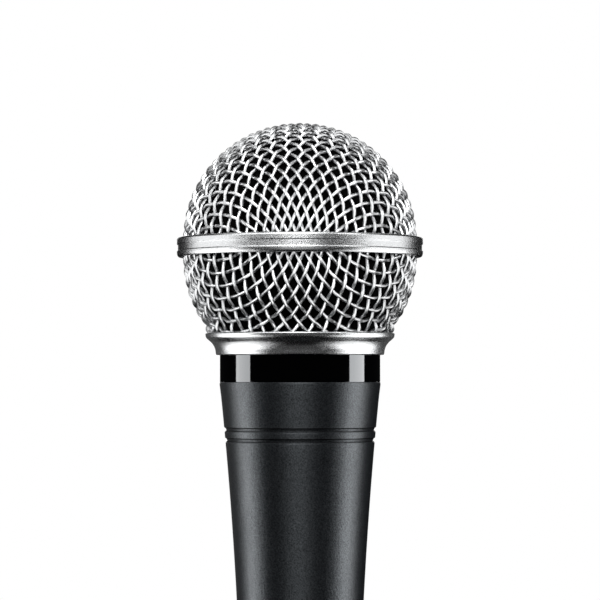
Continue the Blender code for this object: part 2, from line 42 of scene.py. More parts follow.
# Woven wire
WIRE_R = 0.34
CRIMP = 0.33  # how far a wire swings to each side of the mesh's middle surface
WIRE_SIDES = 8
STEPS_PER_PITCH = 8
MESH_R = 23.33  # the surface midway between the two layers of wire
DOME_CENTRE_Z = 142.0
DOME_FOOT_Z = 141.4
BOWL_CENTRE_Z = 138.3
BOWL_RIM_Z = 139.6
NET_STEP = 0.02  # radians between the points that the draped net is worked out at
NET_SIZE = 110
WIRE_REACH = 20  # wires each way from the pole
# A cloth's wire pitch, the share of a pitch its wires stand off the pole, its turn about the axis in
# degrees, how much it is drawn out along the meridians, and which of its two families starts on top
DOME_CLOTH = (2.32, 0.304, 43.2, 1.017, 0)
BOWL_CLOTH = (2.15, 0.225, 44.8, 1.195, 1)
# The bowl's middle surface from where it leaves the ball, in and down into the collar's channel
NECK_LEAVE_Z = 125.92
NECK_PROFILE = [(19.3, 125.45), (18.9, 124.85), (18.78, 124.3), (18.75, 123.8)]
NECK_PROFILE += [(18.48, 123.25), (18.3, 122.9), (18.2, 122.3)]

# Band
BAND_R = 25.25
BAND_TOP_Z = 142.4
BAND_FOOT_Z = 138.46
BAND_BORE_R = 24.3
BAND_WEB_R = 22.4
BAND_WEB_FOOT_Z = 140.0
BAND_WEB_TOP_Z = 141.0
RECESS_FOOT_Z = 139.65
RECESS_TOP_Z = 141.0
RECESS_R = BAND_R - 0.2

# Collar
COLLAR_LIP_R = 19.41
COLLAR_LIP_Z = 122.9
COLLAR_FOOT_R = 17.24
COLLAR_FOOT_Z = 118.4
COLLAR_BORE_R = 15.74
COLLAR_CREST_R = 15.22
CHANNEL_OUTER_R = 18.98
CHANNEL_INNER_R = 17.2
CHANNEL_FLOOR_Z = 122.0
LEDGE_Z = 122.7

# Nameplate ring
NAMEPLATE_R = 16.43
NAMEPLATE_BORE_R = 15.75
NAMEPLATE_FOOT_Z = 112.82
NAMEPLATE_TOP_Z = 118.36

# Handle
TAIL_R = 11.5
SHOULDER_R = 16.5
SHOULDER_Z = 112.8
TAPER_POWER = 2.4
WALL = 2.4
GROOVE_ZS = (103.11, 100.96)
# A groove's steep upper wall, sloping floor and rounded lower wall, as heights from its middle, each with
# the depth there
GROOVE_SHAPE = [(0.6, 0.0), (0.5, 0.0), (0.33, 0.27), (-0.1, 0.42), (-0.17, 0.38)]
GROOVE_SHAPE += [(-0.28, 0.22), (-0.4, 0.09), (-0.54, 0.02), (-0.66, 0.0)]
SEAT_R = 15.45
NECK_R = 15.1
NECK_FOOT_Z = 118.5
NECK_TOP_Z = 123.2
NECK_BORE_R = 13.7
NECK_BORE_FLOOR_Z = 105.0
SOCKET_R = 8.05
INSERT_TOP_Z = 24.0

# Thread
THREAD_PITCH = 1.0
THREAD_START_Z = 119.5
THREAD_TURNS = 3
THREAD_CREST_R = 15.6
THREAD_ROOT_R = 14.9
THREAD_ROOT_HALF = 0.34
THREAD_SLOPE = 0.23 / 0.7
THREAD_PLAY = 0.13

# Connector
LOCK_SCREW_Z = 19.0
PIN_CIRCLE_R = 3.8
PIN_R = 1.2
PIN_ANGLES = {"pin_1": 180.0, "pin_2": 0.0, "pin_3": 270.0}
SOCKET_DEPTH = 14.5
INSERT_R = 7.75
INSERT_BACK_Z = 23.7
PIN_HOLE_R = 1.45
SCREW_HOLE_R = 1.5
SOLDER_CUP_R = PIN_R + 0.15
SOLDER_CUP_BORE_R = 0.8
SOLDER_CUP_FLOOR_Z = 25.5
SOLDER_CUP_TOP_Z = 28.5

# Leads, each from its tag on the cartridge down to its pin
LEAD_R = 0.58
HOT_ROUTE = [
    (3.0, 0.0, 86.6),
    (3.0, 0.2, 82.0),
    (4.2, 1.0, 74.0),
    (2.6, 2.4, 62.0),
    (-0.5, 1.8, 50.0),
    (0.8, -0.6, 40.0),
    (3.4, -0.4, 33.5),
    (3.8, 0.0, 28.8),
]
COLD_ROUTE = [
    (-3.0, 0.0, 86.6),
    (-3.1, -0.3, 82.0),
    (-4.4, -1.2, 74.0),
    (-3.0, -2.8, 62.0),
    (0.6, -2.6, 50.0),
    (-0.6, -4.2, 40.0),
    (0.0, -4.0, 33.5),
    (0.0, -3.8, 28.8),
]

# Foam
FOAM_OUTER_R = 22.45
FOAM_THICK = 1.85
FOAM_DOME_RIM_Z = 141.35
FOAM_BOWL_RIM_Z = 139.65
FOAM_BOWL_END_DEG = -31.3  # where the bowl's foam leaves the ball's curve

# Camera, in metres and degrees, with its lens in millimetres
CAMERA_DISTANCE = 0.554
CAMERA_HEIGHT = 0.1137
CAMERA_PITCH = 1.65
CAMERA_ROLL = -0.05
LENS = 162.0

# Height that the studio's lights aim at, in metres
AIM_HEIGHT = 0.13

# Segments round the turned pieces
FINE = 192
BARREL_SEGMENTS = 160
FOAM_SEGMENTS = 144
HIDDEN = 96
PIN_SEGMENTS = 40

CORNER_DEG = 30.0  # edges sharper than this stay sharp

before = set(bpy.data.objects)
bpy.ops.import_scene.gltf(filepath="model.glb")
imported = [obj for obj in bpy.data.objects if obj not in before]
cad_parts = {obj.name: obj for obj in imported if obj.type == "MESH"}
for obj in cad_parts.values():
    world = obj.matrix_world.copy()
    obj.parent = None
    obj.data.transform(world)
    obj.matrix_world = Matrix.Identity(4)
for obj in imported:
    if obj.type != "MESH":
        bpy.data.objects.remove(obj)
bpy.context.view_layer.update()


# Mesh helpers


def new_piece(name, points, faces, smooth=True):
    """A mesh object from points in millimetres."""
    mesh = bpy.data.meshes.new(name)
    mesh.from_pydata([tuple(p) for p in np.asarray(points, float) * MM], [], [tuple(f) for f in faces])
    mesh.update()
    piece = bpy.data.objects.new(name, mesh)
    bpy.context.scene.collection.objects.link(piece)
    if smooth:
        smooth_shading(piece)
    return piece


def smooth_shading(piece):
    """Smooth, apart from sharp edges."""
    piece.data.shade_smooth()
    piece.data.set_sharp_from_angle(angle=math.radians(CORNER_DEG))


def turned(name, outline, segments):
    """A turned solid from (radius, height) pairs that run down its outer side and up its inner one. An
    outline that starts and ends on the axis is closed there."""
    on_axis = outline[0][0] == 0.0
    rows, points = [], []
    for radius, height in outline:
        if radius == 0.0:
            rows.append([len(points)] * segments)
            points.append((0.0, 0.0, height))
            continue
        rows.append(list(range(len(points), len(points) + segments)))
        for i in range(segments):
            angle = math.tau * i / segments
            points.append((radius * math.cos(angle), radius * math.sin(angle), height))
    if not on_axis:
        rows.append(rows[0])
    faces = []
    for upper, lower in zip(rows, rows[1:]):
        for i in range(segments):
            j = (i + 1) % segments
            corners = [upper[i], lower[i], lower[j], upper[j]]
            corners = [c for k, c in enumerate(corners) if c not in corners[:k]]
            if len(corners) > 2:
                faces.append(corners)
    return new_piece(name, points, faces)


def arc(centre_r, centre_z, radius_r, radius_z, start, end, steps):
    """Points of an ellipse in the outline's plane, angles in degrees from the outward direction."""
    angles = [math.radians(start + (end - start) * i / steps) for i in range(steps + 1)]
    return [(centre_r + radius_r * math.cos(a), centre_z + radius_z * math.sin(a)) for a in angles]


def rounded(outline, radius, steps=4):
    """The outline with each corner rounded, as far as its edges leave room."""
    points = [Vector(p) for p in outline]
    out = []
    for i, corner in enumerate(points):
        before, after = points[i - 1] - corner, points[(i + 1) % len(points)] - corner
        turn = before.angle(after, math.pi)
        reach = min(radius / max(math.tan(turn / 2), 1e-6), 0.45 * before.length, 0.45 * after.length)
        if turn > math.radians(165) or reach < 1e-4:
            out.append(tuple(corner))
            continue
        start, end = corner + before.normalized() * reach, corner + after.normalized() * reach
        for k in range(steps + 1):
            t = k / steps
            out.append(tuple((1 - t) ** 2 * start + 2 * t * (1 - t) * corner + t * t * end))
    return out


def firm(outline, reach=0.05):
    """Adds points near both ends of each long run, so that smooth shading leaves it flat in between."""
    out = []
    for here, after in zip(outline, [*outline[1:], outline[0]]):
        out.append(here)
        run = math.dist(here, after)
        if run > 6 * reach:
            step = Vector(after) - Vector(here)
            out += [tuple(Vector(here) + step * share) for share in (reach / run, 1.0 - reach / run)]
    return out


def tube(points, ups, radius, sides):
    """Points and faces of a round bar along points, in the frame that each one's up gives."""
    points, ups = np.asarray(points, float), np.asarray(ups, float)
    along = np.gradient(points, axis=0)
    along /= np.linalg.norm(along, axis=1)[:, None]
    across = np.cross(along, ups)
    across /= np.linalg.norm(across, axis=1)[:, None]
    up = np.cross(across, along)
    angles = (np.arange(sides) * math.tau / sides)[None, :, None]
    ring = np.cos(angles) * across[:, None, :] + np.sin(angles) * up[:, None, :]
    verts = (points[:, None, :] + radius * ring).reshape(-1, 3)
    faces = []
    for i in range(len(points) - 1):
        low, high = i * sides, (i + 1) * sides
        for k in range(sides):
            m = (k + 1) % sides
            faces.append((low + k, low + m, high + m, high + k))
    faces.append(tuple(range(sides - 1, -1, -1)))
    last = (len(points) - 1) * sides
    faces.append(tuple(range(last, last + sides)))
    return verts, faces


def gather(name, parts):
    """One mesh from several sets of points and faces."""
    verts, faces, start = [], [], 0
    for part_verts, part_faces in parts:
        verts.append(part_verts)
        faces += [tuple(start + i for i in face) for face in part_faces]
        start += len(part_verts)
    return new_piece(name, np.concatenate(verts), faces)


def rod(radius, start, end):
    """A round cutter between two points."""
    start, end = Vector(start), Vector(end)
    side = (end - start).orthogonal()
    verts, faces = tube([start, (start + end) / 2, end], [side] * 3, radius, 32)
    return new_piece("cutter", verts, faces)


def block(low, high):
    """A square cutter between two corners."""
    corners = [(x, y, z) for x in (low[0], high[0]) for y in (low[1], high[1]) for z in (low[2], high[2])]
    faces = [(0, 1, 3, 2), (4, 6, 7, 5), (0, 4, 5, 1), (2, 3, 7, 6), (0, 2, 6, 4), (1, 5, 7, 3)]
    return new_piece("cutter", corners, faces, smooth=False)


def boolean(piece, other, operation="DIFFERENCE"):
    """Cuts a piece by another one, or joins them, and uses the other one up."""
    modifier = piece.modifiers.new("Boolean", "BOOLEAN")
    modifier.operation = operation
    modifier.object = other
    modifier.solver = "EXACT"
    graph = bpy.context.evaluated_depsgraph_get()
    mesh = bpy.data.meshes.new_from_object(piece.evaluated_get(graph))
    piece.modifiers.clear()
    piece.data = mesh
    bpy.data.objects.remove(other)
    smooth_shading(piece)


def helix(section, start_z, turns, steps=96):
    """A right-handed ridge from (radius, height) pairs, the first at its root. It fades in and out at its
    ends."""
    count = round(turns * steps)
    fade = steps // 6
    root_r = section[0][0]
    verts, faces = [], []
    for i in range(count + 1):
        angle = math.tau * i / steps
        strength = min(1.0, (i + 1) / fade, (count + 1 - i) / fade)
        for radius, height in section:
            r = root_r + (radius - root_r) * strength
            z = start_z + height + THREAD_PITCH * i / steps
            verts.append((r * math.cos(angle), r * math.sin(angle), z))
    size = len(section)
    for i in range(count):
        for k in range(size):
            m = (k + 1) % size
            faces.append((i * size + k, i * size + m, (i + 1) * size + m, (i + 1) * size + k))
    faces += [tuple(range(size - 1, -1, -1)), tuple(range(count * size, (count + 1) * size))]
    ridge = new_piece("ridge", verts, faces)
    outward = bmesh.new()
    outward.from_mesh(ridge.data)
    bmesh.ops.recalc_face_normals(outward, faces=outward.faces)
    outward.to_mesh(ridge.data)
    outward.free()
    return ridge


def ridge_half(radius):
    """Half the handle's ridge's height at a radius."""
    return THREAD_ROOT_HALF - THREAD_SLOPE * (radius - THREAD_ROOT_R)


def ridge_section(radii, halves):
    """A ridge's outline from its root and crest radii and half its height at each."""
    (root_r, crest_r), (root, crest) = radii, halves
    return [(root_r, -root), (crest_r, -crest), (crest_r, crest), (root_r, root)]


# Materials


class Nodes:
    """A material's node tree, with short ways to add nodes to it."""

    def __init__(self, name, colour, roughness, metallic=0.0):
        self.material = bpy.data.materials.new(name)
        self.material.use_nodes = True
        self.tree = self.material.node_tree
        self.shader = self.tree.nodes["Principled BSDF"]
        self.shader.inputs["Base Color"].default_value = (*colour, 1.0)
        self.shader.inputs["Roughness"].default_value = roughness
        self.shader.inputs["Metallic"].default_value = metallic
        self.coords = self.tree.nodes.new("ShaderNodeTexCoord").outputs["Object"]

    def link(self, output, target):
        self.tree.links.new(output, target)

    def noise(self, size_mm, detail=2.0, stretch=None, roughness=0.5):
        """Noise whose grains are about size_mm wide, stretched along an axis if asked."""
        node = self.tree.nodes.new("ShaderNodeTexNoise")
        node.inputs["Scale"].default_value = 1.0 / (size_mm * MM)
        node.inputs["Detail"].default_value = detail
        node.inputs["Roughness"].default_value = roughness
        coords = self.coords
        if stretch is not None:
            mapping = self.tree.nodes.new("ShaderNodeMapping")
            mapping.inputs["Scale"].default_value = stretch
            self.link(coords, mapping.inputs["Vector"])
            coords = mapping.outputs["Vector"]
        self.link(coords, node.inputs["Vector"])
        return node.outputs["Fac"]

    def cells(self, size_mm):
        """Open cells about size_mm wide, dark in their middles."""
        node = self.tree.nodes.new("ShaderNodeTexVoronoi")
        node.inputs["Scale"].default_value = 1.0 / (size_mm * MM)
        self.link(self.coords, node.inputs["Vector"])
        return node.outputs["Distance"]

    def bands(self, size_mm, direction="Z"):
        """Even bands size_mm apart along an axis."""
        node = self.tree.nodes.new("ShaderNodeTexWave")
        node.bands_direction = direction
        node.inputs["Scale"].default_value = math.tau / 20.0 / (size_mm * MM)
        self.link(self.coords, node.inputs["Vector"])
        return node.outputs["Fac"]

    def spread(self, fac, low, high, from_low=0.3, from_high=0.7):
        """fac, from its usual range to low..high."""
        node = self.tree.nodes.new("ShaderNodeMapRange")
        node.inputs["From Min"].default_value = from_low
        node.inputs["From Max"].default_value = from_high
        node.inputs["To Min"].default_value = low
        node.inputs["To Max"].default_value = high
        self.link(fac, node.inputs["Value"])
        return node.outputs["Result"]

    def blend(self, fac, first, second):
        """A colour from first to second as fac goes from 0 to 1."""
        node = self.tree.nodes.new("ShaderNodeMix")
        node.data_type = "RGBA"
        node.inputs["A"].default_value = (*first, 1.0)
        node.inputs["B"].default_value = (*second, 1.0)
        self.link(fac, node.inputs["Factor"])
        return node.outputs["Result"]

    def mix(self, first, second, share=0.5):
        """Two patterns together, with the second one's share."""
        node = self.tree.nodes.new("ShaderNodeMix")
        node.data_type = "FLOAT"
        node.inputs["Factor"].default_value = share
        self.link(first, node.inputs["A"])
        self.link(second, node.inputs["B"])
        return node.outputs["Result"]

    def bump(self, height, depth_mm, strength=1.0):
        node = self.tree.nodes.new("ShaderNodeBump")
        node.inputs["Strength"].default_value = strength
        node.inputs["Distance"].default_value = depth_mm * MM
        self.link(height, node.inputs["Height"])
        self.link(node.outputs["Normal"], self.shader.inputs["Normal"])

    def turned_sheen(self, amount):
        """Spreads highlights along the axis more than round it."""
        tangent = self.tree.nodes.new("ShaderNodeTangent")
        tangent.direction_type = "RADIAL"
        tangent.axis = "Z"
        self.link(tangent.outputs["Tangent"], self.shader.inputs["Tangent"])
        self.shader.inputs["Anisotropic"].default_value = amount
        self.shader.inputs["Anisotropic Rotation"].default_value = 0.25

    def set_colour(self, output):
        self.link(output, self.shader.inputs["Base Color"])

    def set_roughness(self, output):
        self.link(output, self.shader.inputs["Roughness"])


def charcoal_paint():
    """Fine sprayed texture, whose high spots shine more than its low ones."""
    m = Nodes("charcoal_paint", (0.01, 0.0102, 0.011), 0.5, 0.0)
    grain = m.noise(0.3, 3.0, roughness=0.65)
    patches = m.noise(6.0, 2.0)
    m.set_colour(m.blend(m.spread(grain, 0.0, 1.0), (0.0024, 0.0028, 0.0034), (0.0064, 0.0074, 0.0086)))
    m.set_roughness(m.spread(m.mix(grain, patches, 0.3), 0.44, 0.54))
    m.link(m.spread(grain, 0.2, 0.78), m.shader.inputs["Specular IOR Level"])
    m.shader.inputs["Specular Tint"].default_value = (0.87, 0.94, 1.0, 1.0)
    m.bump(grain, 0.045, 1.0)
    m.turned_sheen(0.8)
    return m.material


def painted_groove_shade():
    """Painted shade: near-black dull paint for the grooves' walls, standing in for the shade inside the
    grooves.
    """
    m = Nodes("painted_groove_shade", (0.0006, 0.0006, 0.0007), 0.9)
    grain = m.noise(0.3, 3.0)
    m.set_roughness(m.spread(grain, 0.85, 1.0))
    m.shader.inputs["Specular IOR Level"].default_value = 0.06
    m.bump(grain, 0.02, 0.5)
    return m.material


def cast_metal():
    """The handle's unpainted inside."""
    m = Nodes("cast_metal", (0.5, 0.5, 0.51), 0.4, 1.0)
    grain = m.noise(0.35, 3.0)
    m.set_colour(m.blend(m.spread(grain, 0.0, 1.0), (0.4, 0.4, 0.41), (0.6, 0.6, 0.61)))
    m.set_roughness(m.spread(grain, 0.32, 0.5))
    m.bump(grain, 0.02, 0.5)
    return m.material


def gloss_black():
    """Lacquer with a very slight ripple."""
    m = Nodes("gloss_black", (0.0003, 0.0003, 0.0004), 0.04, 0.0)
    m.set_roughness(m.spread(m.noise(3.0), 0.03, 0.06))
    m.shader.inputs["Specular Tint"].default_value = (0.94, 0.97, 1.0, 1.0)
    m.bump(m.noise(1.2, 2.0), 0.0012, 0.5)
    return m.material


def satin_silver():
    """Plating over a blasted surface."""
    m = Nodes("satin_silver", (0.52, 0.52, 0.53), 0.26, 1.0)
    grain = m.noise(0.16, 3.0, roughness=0.6)
    clouded = m.mix(grain, m.noise(1.6, 2.0), 0.15)
    m.set_colour(m.blend(m.spread(clouded, 0.0, 1.0), (0.37, 0.375, 0.38), (0.55, 0.557, 0.563)))
    m.set_roughness(m.spread(clouded, 0.22, 0.3))
    m.bump(grain, 0.024, 1.0)
    return m.material


def plated_wire():
    m = Nodes("plated_wire", (0.52, 0.52, 0.53), 0.26, 1.0)
    grain = m.noise(0.35, 3.0)
    m.set_colour(m.blend(m.spread(grain, 0.0, 1.0), (0.5, 0.505, 0.51), (0.63, 0.637, 0.644)))
    m.set_roughness(m.spread(grain, 0.3, 0.38))
    m.bump(grain, 0.005, 0.4)
    return m.material


def black_foam():
    m = Nodes("black_foam", (0.006, 0.006, 0.0065), 1.0)
    cells = m.cells(0.5)
    # painted shade: the colour is darker in the cells' middles, where the bump sinks the pores
    pore_shade = m.spread(cells, 0.0, 1.0, 0.1, 0.8)
    m.set_colour(m.blend(pore_shade, (0.0002, 0.0002, 0.0002), (0.0014, 0.0014, 0.0014)))
    m.bump(m.mix(cells, m.noise(0.25), 0.4), 0.25, 1.0)
    m.shader.inputs["Specular IOR Level"].default_value = 0.04
    return m.material


def moulded(name, colour, roughness=0.45, grain_mm=0.3):
    """A moulded or dyed solid colour, with a fine grain and a slight cloudiness."""
    m = Nodes(name, colour, roughness)
    grain = m.noise(grain_mm, 3.0)
    lighter = tuple(min(1.0, c * 1.5 + 0.002) for c in colour)
    m.set_colour(m.blend(m.spread(m.mix(grain, m.noise(4.0), 0.5), 0.0, 1.0), colour, lighter))
    m.set_roughness(m.spread(grain, roughness - 0.07, roughness + 0.08))
    m.bump(grain, 0.015, 0.5)
    return m.material


def bare_metal(name, colour, roughness, turning_mm=0.12):
    """A machined metal with fine turning marks round the axis."""
    m = Nodes(name, colour, roughness, 1.0)
    marks = m.noise(1.0, 3.0, stretch=(0.3, 0.3, 1.0 / turning_mm))
    darker = tuple(c * 0.8 for c in colour)
    m.set_colour(m.blend(m.spread(marks, 0.0, 1.0), darker, colour))
    m.set_roughness(m.spread(marks, roughness - 0.06, roughness + 0.08))
    m.bump(marks, 0.004, 0.4)
    return m.material


def winding():
    """Turns of fine copper wire."""
    m = Nodes("copper_winding", (0.72, 0.33, 0.16), 0.32, 1.0)
    turns = m.bands(0.12)
    # painted shade: the copper is darker where the bump dips between the turns
    m.set_colour(m.blend(turns, (0.38, 0.13, 0.05), (0.78, 0.38, 0.19)))
    m.bump(turns, 0.03, 0.8)
    return m.material


def felt():
    m = Nodes("felt", (0.05, 0.05, 0.05), 0.95)
    fibres = m.noise(0.15, 4.0, stretch=(1.0, 1.0, 2.5))
    m.set_colour(m.blend(m.spread(fibres, 0.0, 1.0), (0.025, 0.025, 0.026), (0.085, 0.085, 0.085)))
    m.bump(fibres, 0.15, 0.9)
    m.shader.inputs["Sheen Weight"].default_value = 0.3
    return m.material


def film():
    m = Nodes("polyester_film", (0.6, 0.62, 0.61), 0.2)
    m.set_roughness(m.spread(m.noise(1.0, 3.0), 0.14, 0.3))
    m.set_colour(m.blend(m.noise(2.0), (0.5, 0.52, 0.51), (0.68, 0.7, 0.68)))
    m.bump(m.noise(0.8, 2.0), 0.01, 0.5)
    m.shader.inputs["Coat Weight"].default_value = 0.4
    return m.material


def circuit_board():
    m = Nodes("terminal_board", (0.1, 0.17, 0.09), 0.5)
    weave = m.mix(m.bands(0.4, "X"), m.bands(0.4, "Y"))
    m.set_colour(m.blend(m.spread(weave, 0.0, 1.0, 0.2, 0.8), (0.085, 0.15, 0.075), (0.13, 0.21, 0.11)))
    m.bump(weave, 0.02, 0.4)
    return m.material


PAINT = charcoal_paint()
PAINTED_GROOVE_SHADE = painted_groove_shade()
CAST = cast_metal()
GLOSS = gloss_black()
SILVER = satin_silver()
WIRE = plated_wire()
FOAM = black_foam()
PLASTIC = moulded("black_plastic", (0.014, 0.014, 0.0145), 0.45)
RUBBER = moulded("rubber", (0.012, 0.012, 0.012), 0.8, 0.5)
STEEL = bare_metal("plated_steel", (0.58, 0.585, 0.6), 0.3)
GOLD = bare_metal("contact_plating", (0.78, 0.7, 0.5), 0.2)
NICKEL = bare_metal("magnet_nickel", (0.52, 0.51, 0.5), 0.22)
COPPER = winding()
FELT = felt()
FILM = film()
BOARD = circuit_board()
RED = moulded("lead_red", (0.42, 0.015, 0.015), 0.4)
BLACK = moulded("lead_black", (0.012, 0.012, 0.012), 0.4)
GREEN = moulded("lead_green", (0.02, 0.17, 0.05), 0.4)


def dress(piece, material, body, node):
    """Gives a piece its material if it has none and its body, and hides the CAD node it stands for."""
    if not piece.data.materials:
        piece.data.materials.append(material)
    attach(piece, body)
    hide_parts(node)


# Woven wire


def draped_net():
    """A net of square cells draped over a unit ball from its top, as unit vectors on a grid of the two
    distances along its wires. It has no value where the cloth would have to fold."""
    chord = math.cos(NET_STEP)
    net = np.full((NET_SIZE, NET_SIZE, 3), np.nan)
    for i in range(NET_SIZE):
        net[i, 0] = (math.sin(i * NET_STEP), 0.0, math.cos(i * NET_STEP))
        net[0, i] = (0.0, math.sin(i * NET_STEP), math.cos(i * NET_STEP))
    for i in range(1, NET_SIZE):
        for j in range(1, NET_SIZE):
            first, second, behind = (Vector(net[k]) for k in ((i - 1, j), (i, j - 1), (i - 1, j - 1)))
            share = chord / (1.0 + first.dot(second))
            side = first.cross(second)
            left = 1.0 - share**2 * (first + second).length_squared
            if not (left > 0.0 and side.length > 1e-7):
                continue
            offset = side.normalized() * math.sqrt(left)
            options = [share * (first + second) + offset, share * (first + second) - offset]
            net[i, j] = max(options, key=lambda p: (p - behind).length)
    return net


def net_points(net, first, second):
    """The net's unit vectors at two arrays of signed distances along its wires."""
    across, along = np.abs(first) / NET_STEP, np.abs(second) / NET_STEP
    i = np.clip(across.astype(int), 0, NET_SIZE - 2)
    j = np.clip(along.astype(int), 0, NET_SIZE - 2)
    s, t = (across - i)[:, None], (along - j)[:, None]
    near = (1 - s) * net[i, j] + s * net[i + 1, j]
    far = (1 - s) * net[i, j + 1] + s * net[i + 1, j + 1]
    points = (1 - t) * near + t * far
    points /= np.linalg.norm(points, axis=1)[:, None]
    points[:, 0] *= np.where(first < 0, -1.0, 1.0)
    points[:, 1] *= np.where(second < 0, -1.0, 1.0)
    inside = (across < NET_SIZE - 1) & (along < NET_SIZE - 1)
    return points, inside & np.isfinite(points[:, 0])


def smooth_run(values, per_span):
    """A Catmull-Rom curve through values, with per_span steps between each two."""
    values = np.asarray(values, float)
    padded = np.vstack([2 * values[0] - values[1], values, 2 * values[-1] - values[-2]])
    out = []
    for k in range(len(values) - 1):
        p0, p1, p2, p3 = padded[k : k + 4]
        for s in range(per_span):
            t = s / per_span
            curve = 2 * p1 + (p2 - p0) * t + (2 * p0 - 5 * p1 + 4 * p2 - p3) * t**2
            out.append((curve + (3 * p1 - p0 - 3 * p2 + p3) * t**3) / 2)
    out.append(values[-1])
    return np.array(out)


def woven_wires(name, net, cloth, place, keep):
    """Both families of wire. place turns a distance from the cloth's pole and an azimuth into a point and
    its normal, and keep says which points stay."""
    pitch, stand_off, turn, draw, on_top = cloth
    scale = pitch / MESH_R
    moving = np.arange(-WIRE_REACH, WIRE_REACH + 1e-6, 1.0 / STEPS_PER_PITCH)
    parts = []
    for family in (0, 1):
        for number in range(-WIRE_REACH, WIRE_REACH + 1):
            fixed = np.full(len(moving), float(number))
            first, second = (fixed, moving) if family else (moving, fixed)
            unit, found = net_points(net, (first + stand_off) * scale, (second + stand_off) * scale)
            unit[~found] = (0.0, 0.0, -1.0)
            polar = np.arccos(np.clip(unit[:, 2], -1.0, 1.0)) * draw
            azimuth = np.arctan2(unit[:, 1], unit[:, 0]) + math.radians(turn)
            points, normals = place(polar, azimuth)
            swing = np.cos(math.pi * (moving + number + family + on_top + 1))
            points = points + normals * (CRIMP * swing)[:, None]
            for stretch in kept_stretches(found & keep(points)):
                if len(stretch) > 3:
                    parts.append(tube(points[stretch], normals[stretch], WIRE_R, WIRE_SIDES))
    return gather(name, parts)


def kept_stretches(mask):
    """Runs of consecutive indices where mask is true."""
    indices = np.flatnonzero(mask)
    if not len(indices):
        return []
    return np.split(indices, np.flatnonzero(np.diff(indices) > 1) + 1)


def dome_place(polar, azimuth):
    """The dome's cloth has its pole at the top."""
    out = np.sin(polar)
    unit = np.column_stack([out * np.cos(azimuth), out * np.sin(azimuth), np.cos(polar)])
    return unit * MESH_R + np.array([0.0, 0.0, DOME_CENTRE_Z]), unit


def bowl_profile():
    """Arc lengths down from the ball's widest level, with the radius, height and normal there."""
    above = 0.12  # radians of the ball above that level
    angles = np.linspace(-above, math.asin((BOWL_CENTRE_Z - NECK_LEAVE_Z) / MESH_R), 60)
    ball = np.stack([MESH_R * np.cos(angles), BOWL_CENTRE_Z - MESH_R * np.sin(angles)], axis=1)
    neck = smooth_run([ball[-5], ball[-1], *NECK_PROFILE], 8)[8:]
    line = np.vstack([ball[:-1], neck])
    steps = np.linalg.norm(np.diff(line, axis=0), axis=1)
    lengths = np.concatenate([[0.0], np.cumsum(steps)]) - above * MESH_R
    slopes = np.gradient(line, axis=0)
    slopes /= np.linalg.norm(slopes, axis=1)[:, None]
    normals = np.stack([-slopes[:, 1], slopes[:, 0]], axis=1)
    return lengths, line, normals


BOWL_LENGTHS, BOWL_LINE, BOWL_NORMALS = bowl_profile()


def bowl_place(polar, azimuth):
    """The bowl's cloth has its pole at the bottom, inside the collar."""
    below = (math.pi / 2 - polar) * MESH_R
    radius, height = (np.interp(below, BOWL_LENGTHS, BOWL_LINE[:, k]) for k in (0, 1))
    out, up = (np.interp(below, BOWL_LENGTHS, BOWL_NORMALS[:, k]) for k in (0, 1))
    size = np.hypot(out, up)
    points = np.column_stack([radius * np.cos(azimuth), radius * np.sin(azimuth), height])
    normals = np.column_stack([out * np.cos(azimuth), out * np.sin(azimuth), up]) / size[:, None]
    beyond = (below < BOWL_LENGTHS[0]) | (below > BOWL_LENGTHS[-1])
    points[beyond, 2] = -1.0
    return points, normals


def in_dome(points):
    return points[:, 2] > DOME_FOOT_Z


def in_bowl(points):
    return (points[:, 2] > NECK_PROFILE[-1][1] + 0.05) & (points[:, 2] < BOWL_RIM_Z)


def make_wires():
    """The ball's two halves, each woven and draped as a cloth of its own."""
    net = draped_net()
    dome = woven_wires("wire_dome", net, DOME_CLOTH, dome_place, in_dome)
    dress(dome, WIRE, "grille", "grille_dome")
    bowl = woven_wires("wire_bowl", net, BOWL_CLOTH, bowl_place, in_bowl)
    dress(bowl, WIRE, "grille", "grille_bowl")


# Grille's band and collar


def make_band():
    """Two beads with a shallow recess between, and a web inside that parts the ball's halves."""
    outline = [(BAND_BORE_R, BAND_TOP_Z)]
    outline += arc(BAND_R - 0.45, BAND_TOP_Z - 0.45, 0.45, 0.45, 90.0, 0.0, 6)
    outline += arc(BAND_R - 0.1, RECESS_TOP_Z + 0.1, 0.1, 0.1, 0.0, -90.0, 3)
    outline += arc(RECESS_R + 0.08, RECESS_TOP_Z - 0.08, 0.08, 0.08, 90.0, 180.0, 2)
    outline += arc(RECESS_R + 0.08, RECESS_FOOT_Z + 0.08, 0.08, 0.08, 180.0, 270.0, 2)
    outline += arc(BAND_R - 0.1, RECESS_FOOT_Z - 0.1, 0.1, 0.1, 90.0, 0.0, 3)
    outline += arc(BAND_R - 0.4, BAND_FOOT_Z + 1.04, 0.4, 1.04, 0.0, -90.0, 10)
    outline += [(BAND_BORE_R, BAND_FOOT_Z), (BAND_BORE_R, BAND_WEB_FOOT_Z), (BAND_WEB_R, BAND_WEB_FOOT_Z)]
    outline += [(BAND_WEB_R, BAND_WEB_TOP_Z), (BAND_BORE_R, BAND_WEB_TOP_Z)]
    band = turned("equator_band", firm(outline), FINE)
    dress(band, SILVER, "grille", "grille_band")


